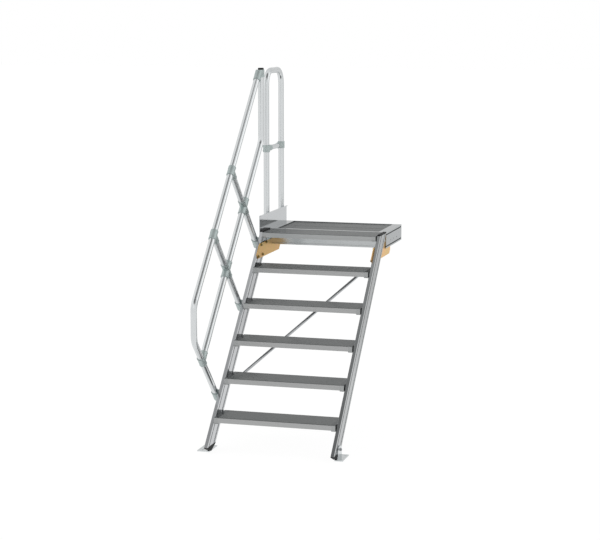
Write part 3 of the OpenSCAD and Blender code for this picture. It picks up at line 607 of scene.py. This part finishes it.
class STAIR_OT_finish_bars(bpy.types.Operator):
    """Gives the stringers and the platform's bars their extruded finish"""

    bl_idname = "stair.finish_bars"
    bl_label = "Finish stringers and platform bars"

    def execute(self, context):
        c = context.scene.stair_colours
        skin = {"line": 1.2 * MM, "spread": 0.03}
        # the right stringer is painted darker than the left one, as painted shade, with a slightly
        # lower edge tint
        for side, paint, edge in (("left", c.stringer, 1.0), ("right", c.stringer_right, 0.96)):
            dress(bar_metal(
                f"mill_aluminium_stringer_{side}", paint, lengthwise(SLOPE),
                roughness=0.12, bump=0.05, edge=edge, **skin), f"stringer_{side}")
        dress(bar_metal(
            "mill_aluminium_side", c.platform, lengthwise(0),
            roughness=0.16, bump=0.06, edge=0.8, **skin), "side_member_left", "side_member_right")
        dress(bar_metal(
            "rolled_aluminium_toe_board", c.toe_board, lengthwise(0),
            line=1.0 * MM, roughness=0.1, spread=0.02, bump=0.05), "toe_board")
        dress(bar_metal(
            "mill_aluminium_beam", c.beam, CROSSWISE,
            roughness=0.18, bump=0.1, **skin), "front_beam", "cross_bar", "rear_beam")
        return {"FINISHED"}


class STAIR_OT_finish_treads(bpy.types.Operator):
    """Gives the treads, deck planks and their ends their finish"""

    bl_idname = "stair.finish_treads"
    bl_label = "Finish treads and deck"

    def execute(self, context):
        c = context.scene.stair_colours
        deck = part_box("deck_plank_rear")[1].z
        # the tops' colours are painted darker than the sides, as painted shade of the ribs
        dress(tread_metal("ribbed_aluminium_tread", c.tread_side, c.tread_top_painted_shade, FIRST[1]),
              *[f"tread_{k}" for k in range(1, 6)])
        dress(tread_metal("ribbed_aluminium_deck", c.deck_side, c.deck_top_painted_shade, deck),
              "deck_plank_middle", "deck_plank_rear")
        dress(tread_metal("ribbed_aluminium_front_plank", c.deck_side, c.deck_top_painted_shade, FIRST[1]),
              "deck_plank_front")
        dress(tread_metal("cast_aluminium_tread_end", c.casting, c.casting_top_painted_shade, FIRST[1]),
              "tread_ends_left", "tread_ends_right")
        return {"FINISHED"}


class STAIR_OT_finish_tubes(bpy.types.Operator):
    """Gives the rails, posts, hoop and brace their drawn finish and the connectors their cast one"""

    bl_idname = "stair.finish_tubes"
    bl_label = "Finish tubes and connectors"

    def execute(self, context):
        c = context.scene.stair_colours
        # name, colour, turn, roughness, spread, and the tubes that get the finish
        tubes = (
            ("rail", c.tube, lengthwise(SLOPE), 0.2, 0.02, ("top_rail", "middle_rail")),
            ("post", c.tube, lengthwise(SLOPE + UPRIGHT), 0.36, 0.02, ("upper_post", "lower_post")),
            ("hoop", c.tube, lengthwise(UPRIGHT), 0.2, 0.02, ("guard_hoop",)),
            ("knee", c.tube, lengthwise(0), 0.22, 0.02, ("knee_rail",)),
            ("brace", c.stringer, CROSSWISE, 0.24, 0.03, ("diagonal_brace",)),
        )
        for name, paint, turn, roughness, spread, nodes in tubes:
            dress(bar_metal(
                f"drawn_aluminium_{name}", paint, turn,
                line=0.8 * MM, roughness=roughness, spread=spread, bump=0.05), *nodes)
        dress(cast_metal("cast_aluminium_connector", c.connector, roughness=0.5, grain=2 * MM),
              "top_connector", "rail_tees", "rail_crosses", "lower_joint", "post_sockets",
              "knee_tees", "hoop_sockets")
        return {"FINISHED"}


class STAIR_OT_finish_plates(bpy.types.Operator):
    """Gives the gussets and foot brackets their plated finish and the plastic parts theirs"""

    bl_idname = "stair.finish_plates"
    bl_label = "Finish plates and plastic parts"

    def execute(self, context):
        c = context.scene.stair_colours
        dress(yellow_zinc(
            "yellow_zinc_gusset", linear("#CDAE62"), c.gusset, linear("#E0B278")), "gusset_left")
        # the right gusset's film colours are the left's painted paler, as painted highlight
        dress(yellow_zinc(
            "yellow_zinc_gusset_painted_highlight", linear("#EBCB80"), c.gusset_right, linear("#FACA92")),
            "gusset_right")
        dress(bright_zinc("bright_zinc_bracket", c.zinc, roughness=0.22),
              "foot_bracket_left", "foot_bracket_right")
        dress(moulded_plastic("black_polypropylene", c.plastic),
              "top_cap_left", "top_cap_right", "shoe_left", "shoe_right", "rail_plug")
        return {"FINISHED"}


class STAIR_OT_groove_strips(bpy.types.Operator):
    """Presses a near-black strip into each groove of the side members, as painted shade of the grooves
    """

    bl_idname = "stair.groove_strips"
    bl_label = "Groove strips"

    def execute(self, context):
        # the strips are near-black, as painted shade of the grooves
        plastic = moulded_plastic("groove_shade_strip", context.scene.stair_colours.strip)
        for sign, side in SIDES:
            low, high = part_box(f"side_member_{side}")
            face = (low.x if sign < 0 else high.x) - sign * STRIP_IN
            strips = [
                carried(STRIP * (sign, 1), np.array([face, low.y + STRIP_SHORT, z]),
                        np.array([face, high.y - STRIP_SHORT, z]))
                for z in (low.z + GROOVE_IN, high.z - GROOVE_IN)
            ]
            make_piece(f"side_member_{side}_strips", strips, plastic)
        return {"FINISHED"}


class STAIR_OT_gusset_bolts(bpy.types.Operator):
    """Bolts each gusset into the grooves of its stringer and of its side member"""

    bl_idname = "stair.gusset_bolts"
    bl_label = "Gusset bolts"

    def execute(self, context):
        bolt = turned(hex_bolt(context.scene.stair_hardware.gusset_bolt))
        metal = yellow_zinc(
            "yellow_zinc_bolt", linear("#8C8252"), linear("#9A8C58"), linear("#B09A62"))
        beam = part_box("front_beam")[0]
        for sign, side in SIDES:
            low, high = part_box(f"gusset_{side}")
            face = high.x if sign < 0 else low.x
            spots = [np.array([face, beam.y + y, beam.z + z]) for y, z in GUSSET_BOLTS]
            bolts = [set_on(bolt, spot, -sign * ACROSS) for spot in spots]
            make_piece(f"gusset_{side}_bolts", bolts, metal)
        return {"FINISHED"}


class STAIR_OT_foot_bolts(bpy.types.Operator):
    """Bolts each foot bracket to its stringer"""

    bl_idname = "stair.foot_bolts"
    bl_label = "Foot bolts"

    def execute(self, context):
        bolt = turned(hex_bolt(context.scene.stair_hardware.foot_bolt))
        metal = bright_zinc("zinc_bolt_foot", linear("#A5A8AB"), roughness=0.3)
        for sign, side in SIDES:
            low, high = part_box(f"stringer_{side}")
            lug = (low.x if sign < 0 else high.x) + sign * LUG
            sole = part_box(f"foot_bracket_{side}")[0].z
            spot = np.array([lug, FIRST[0] + FOOT_BOLT_BACK, sole + FOOT_BOLT_UP])
            bolts = [set_on(bolt, spot, sign * ACROSS)]
            make_piece(f"foot_bracket_{side}_bolt", bolts, metal)
        return {"FINISHED"}


class STAIR_OT_connector_lips(bpy.types.Operator):
    """Rolls a lip round the connectors' mouths and draws out the knee rail's cones"""

    bl_idname = "stair.connector_lips"
    bl_label = "Connector lips"

    def execute(self, context):
        metal = bpy.data.materials["cast_aluminium_connector"]
        for name, places in mouths().items():
            parts = [set_on(lip(r), middle + out * way, way) for middle, way, out, r in places]
            if name == "knee_tees":
                parts += [
                    set_on(ring_of(CONE), np.array([TUBE, y, KNEE]), way)
                    for y, way in zip(HOOP, (BACK, -BACK))]
            make_piece(f"{name}_lips", parts, metal)
        return {"FINISHED"}


class STAIR_OT_clamp_screws(bpy.types.Operator):
    """Sets the clamp screws into the connectors and the screws into the toe board's lap"""

    bl_idname = "stair.clamp_screws"
    bl_label = "Clamp screws"

    def execute(self, context):
        screw = turned(socket_screw(context.scene.stair_hardware.grub_screw))
        metal = bright_zinc("zinc_clamp_screw", linear("#8D9192"), roughness=0.3)
        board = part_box("toe_board")[0]
        lap = (board.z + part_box("side_member_left")[1].z) / 2
        row = np.linspace(HOOP[0] - TOE_FRONT, HOOP[1] - TOE_REAR, TOE_SCREWS)
        groups = clamp_spots()
        groups["toe_board"] = [np.array([board.x, y, lap]) for y in row]
        for name, spots in groups.items():
            screws = [set_on(screw, spot, -ACROSS) for spot in spots]
            make_piece(f"{name}_screws", screws, metal)
        return {"FINISHED"}


# ---- Studio ----

# A dark panel hangs overhead. Its half widths and its middle are parts of a direction
# [across, along], and its soft edge runs between two parts of its half width.
PANEL, PANEL_AT = (0.53, 0.33), (0.15, -0.36)
PANEL_EDGE, PANEL_DARK = (0.75, 1.25), 0.22
# The studio's far side is a little dimmer, between these parts of a direction in the sky and
# between these places on the floor.
FAR_SIDE, FAR_SKY, FAR_FLOOR = 0.8, (0.2, 0.85), (0.0, 3.0)
SOFT_SKY = 0.75                 # brightness of the sky where it lights the stair
GLOW, FAINT = 0.94, 0.12        # own light of the seen floor, and how much of the lamps it takes
FLOOR_HALF, FLOOR_CELLS, FLOOR_BELOW = 60, 8, 0.2 * MM
# disc lamps: the place of each, their size and the point that they face
KEY_AT, FILL_AT, FRONT_AT = (6.5, 2.5, 4.2), (-6.5, -1.5, 3.0), (1.5, -9.5, 4.5)
LAMP_SIZE, LAMPS_FACE = 5.0, Vector((0, -0.8, 0))
CAMERA_AT = (3.0918, -12.0653, 1.6106)
CAMERA_TILT, CAMERA_TURN = math.radians(81.324), math.radians(15.798)
WHITE = (1, 1, 1, 1)


def seen_straight(tree):
    """The tree's Light Path node, and a node that is 1 for what camera, gloss or glass sees."""
    path = add(tree, "ShaderNodeLightPath")
    seen = add(tree, "ShaderNodeMath", {
        0: path.outputs["Is Camera Ray"], 1: path.outputs["Is Glossy Ray"]}, operation="MAXIMUM")
    seen = add(tree, "ShaderNodeMath", {
        0: seen.outputs[0], 1: path.outputs["Is Transmission Ray"]}, operation="MAXIMUM")
    return path, seen


def floor_paint(colour):
    """Painted studio floor: near white where it is seen, with a faint shadow, a little dimmer far
    back in reflections, and of its own colour where it lights the stair."""
    material, tree = empty_material("painted_studio_floor")
    path, seen = seen_straight(tree)
    plain = add(tree, "ShaderNodeBsdfDiffuse", {"Color": (*colour, 1)})
    faint = add(tree, "ShaderNodeBsdfDiffuse", {"Color": (FAINT, FAINT, FAINT, 1)})
    spot = add(tree, "ShaderNodeTexCoord").outputs["Object"]
    spot = add(tree, "ShaderNodeSeparateXYZ", {"Vector": spot})
    far = add(tree, "ShaderNodeMapRange", {
        "Value": spot.outputs["Y"], "From Min": FAR_FLOOR[0], "From Max": FAR_FLOOR[1],
        "To Min": GLOW, "To Max": GLOW * FAR_SIDE}, interpolation_type="SMOOTHSTEP")
    bright = add(tree, "ShaderNodeMapRange", {
        "Value": path.outputs["Is Camera Ray"], "To Min": 0.0, "To Max": GLOW})
    bright = add(tree, "ShaderNodeMath", {
        0: far.outputs[0], 1: bright.outputs[0]}, operation="MAXIMUM")
    glow = add(tree, "ShaderNodeEmission", {"Color": WHITE, "Strength": bright.outputs[0]})
    lit = add(tree, "ShaderNodeAddShader", {0: faint.outputs[0], 1: glow.outputs[0]})
    both = add(tree, "ShaderNodeMixShader", {
        0: seen.outputs[0], 1: plain.outputs[0], 2: lit.outputs[0]})
    add(tree, "ShaderNodeOutputMaterial", {"Surface": both.outputs[0]})
    return material


def lay_floor(scene, colour):
    """A level grid just below the stair: the point at shares u, v from -1 to 1 lies at u and v
    times the half width."""
    share = np.linspace(-1, 1, FLOOR_CELLS + 1) * FLOOR_HALF
    x, y = np.meshgrid(share, share, indexing="ij")
    points = np.stack([x, y, 0 * x + CAD_BOX[0][2] - FLOOR_BELOW], -1).reshape(-1, 3)
    k, j = np.meshgrid(np.arange(FLOOR_CELLS), np.arange(FLOOR_CELLS), indexing="ij")
    row = FLOOR_CELLS + 1
    a = k * row + j
    faces = np.stack([a, a + row, a + row + 1, a + 1], -1).reshape(-1, 4)
    mesh = bpy.data.meshes.new("studio_floor")
    mesh.from_pydata(points.tolist(), [], faces.tolist())
    mesh.materials.append(floor_paint(colour))
    floor = bpy.data.objects.new("studio_floor", mesh)
    scene.collection.objects.link(floor)


def hang_sky(scene):
    """White to the camera; to the stair a soft sky with the dark panel and the dimmer far side."""
    world = bpy.data.worlds.new("studio_world")
    scene.world = world
    world.use_nodes = True
    tree = world.node_tree
    tree.nodes.clear()
    path, seen = seen_straight(tree)
    way = add(tree, "ShaderNodeTexCoord").outputs["Generated"]
    panel = add(tree, "ShaderNodeMapping", {
        "Vector": way, "Location": (-PANEL_AT[0] / PANEL[0], -PANEL_AT[1] / PANEL[1], 0),
        "Scale": (1 / PANEL[0], 1 / PANEL[1], 0)})
    panel = add(tree, "ShaderNodeVectorMath", {0: panel.outputs[0]}, operation="LENGTH")
    panel = add(tree, "ShaderNodeMapRange", {
        "Value": panel.outputs["Value"], "From Min": PANEL_EDGE[0], "From Max": PANEL_EDGE[1],
        "To Min": PANEL_DARK, "To Max": 1.0}, interpolation_type="SMOOTHSTEP")
    back = add(tree, "ShaderNodeSeparateXYZ", {"Vector": way})
    back = add(tree, "ShaderNodeMapRange", {
        "Value": back.outputs["Y"], "From Min": FAR_SKY[0], "From Max": FAR_SKY[1],
        "To Min": 1.0, "To Max": FAR_SIDE}, interpolation_type="SMOOTHSTEP")
    ceiling = add(tree, "ShaderNodeMath", {
        0: panel.outputs[0], 1: back.outputs[0]}, operation="MULTIPLY")
    level = add(tree, "ShaderNodeMapRange", {
        "Value": seen.outputs[0], "To Min": SOFT_SKY, "To Max": 1.0})
    lit = add(tree, "ShaderNodeMath", {
        0: ceiling.outputs[0], 1: level.outputs[0]}, operation="MULTIPLY")
    strength = add(tree, "ShaderNodeMath", {
        0: lit.outputs[0], 1: path.outputs["Is Camera Ray"]}, operation="MAXIMUM")
    sky = add(tree, "ShaderNodeBackground", {"Color": WHITE, "Strength": strength.outputs[0]})
    add(tree, "ShaderNodeOutputWorld", {"Surface": sky.outputs[0]})


def hang_lamp(scene, name, place, power):
    """A large disc lamp that faces the stair."""
    lamp = bpy.data.lights.new(name, "AREA")
    lamp.shape, lamp.size, lamp.energy = "DISK", LAMP_SIZE, power
    holder = bpy.data.objects.new(name, lamp)
    holder.location = place
    holder.rotation_euler = (LAMPS_FACE - Vector(place)).to_track_quat("-Z", "Y").to_euler()
    scene.collection.objects.link(holder)


def set_camera(scene, lens):
    """A camera that stands in front on the right and looks a little down."""
    eye = bpy.data.cameras.new("studio_camera")
    eye.lens, eye.sensor_width, eye.sensor_fit = lens, 36.0, "HORIZONTAL"
    eye.clip_start, eye.clip_end = 0.1, 200
    camera = bpy.data.objects.new("studio_camera", eye)
    camera.location = CAMERA_AT
    camera.rotation_euler = (CAMERA_TILT, 0, CAMERA_TURN)
    scene.collection.objects.link(camera)
    scene.camera = camera


class STAIR_OT_stage(bpy.types.Operator):
    """Lays the floor and sets the world, the lamps and the camera"""

    bl_idname = "stair.stage"
    bl_label = "Studio stage"

    def execute(self, context):
        scene = context.scene
        s = scene.stair_stage
        lay_floor(scene, s.floor)
        hang_sky(scene)
        hang_lamp(scene, "key_lamp", KEY_AT, s.key)
        hang_lamp(scene, "fill_lamp", FILL_AT, s.fill)
        hang_lamp(scene, "front_lamp", FRONT_AT, s.front)
        set_camera(scene, s.lens)
        scene.view_settings.view_transform = "Standard"
        return {"FINISHED"}


# ---- Add-on ----

STEPS = (
    STAIR_OT_finish_bars, STAIR_OT_finish_treads, STAIR_OT_finish_tubes, STAIR_OT_finish_plates,
    STAIR_OT_groove_strips, STAIR_OT_gusset_bolts, STAIR_OT_foot_bolts, STAIR_OT_connector_lips,
    STAIR_OT_clamp_screws, STAIR_OT_stage,
)


class STAIR_PT_panel(bpy.types.Panel):
    """Lists the steps of the stair's finish"""

    bl_idname = "STAIR_PT_panel"
    bl_label = "Platform stair"
    bl_space_type = "VIEW_3D"
    bl_region_type = "UI"
    bl_category = "Stair"

    def draw(self, context):
        for step in STEPS:
            self.layout.operator(step.bl_idname)


CLASSES = (StairColours, StairHardware, StairStage, *STEPS, STAIR_PT_panel)


def register():
    for cls in CLASSES:
        bpy.utils.register_class(cls)
    bpy.types.Scene.stair_colours = PointerProperty(type=StairColours)
    bpy.types.Scene.stair_hardware = PointerProperty(type=StairHardware)
    bpy.types.Scene.stair_stage = PointerProperty(type=StairStage)


def unregister():
    for name in ("stair_colours", "stair_hardware", "stair_stage"):
        delattr(bpy.types.Scene, name)
    for cls in reversed(CLASSES):
        bpy.utils.unregister_class(cls)


def main():
    """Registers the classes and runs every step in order."""
    register()
    for step in STEPS:
        group, name = step.bl_idname.split(".")
        getattr(getattr(bpy.ops, group), name)()


if __name__ == "__main__":
    main()
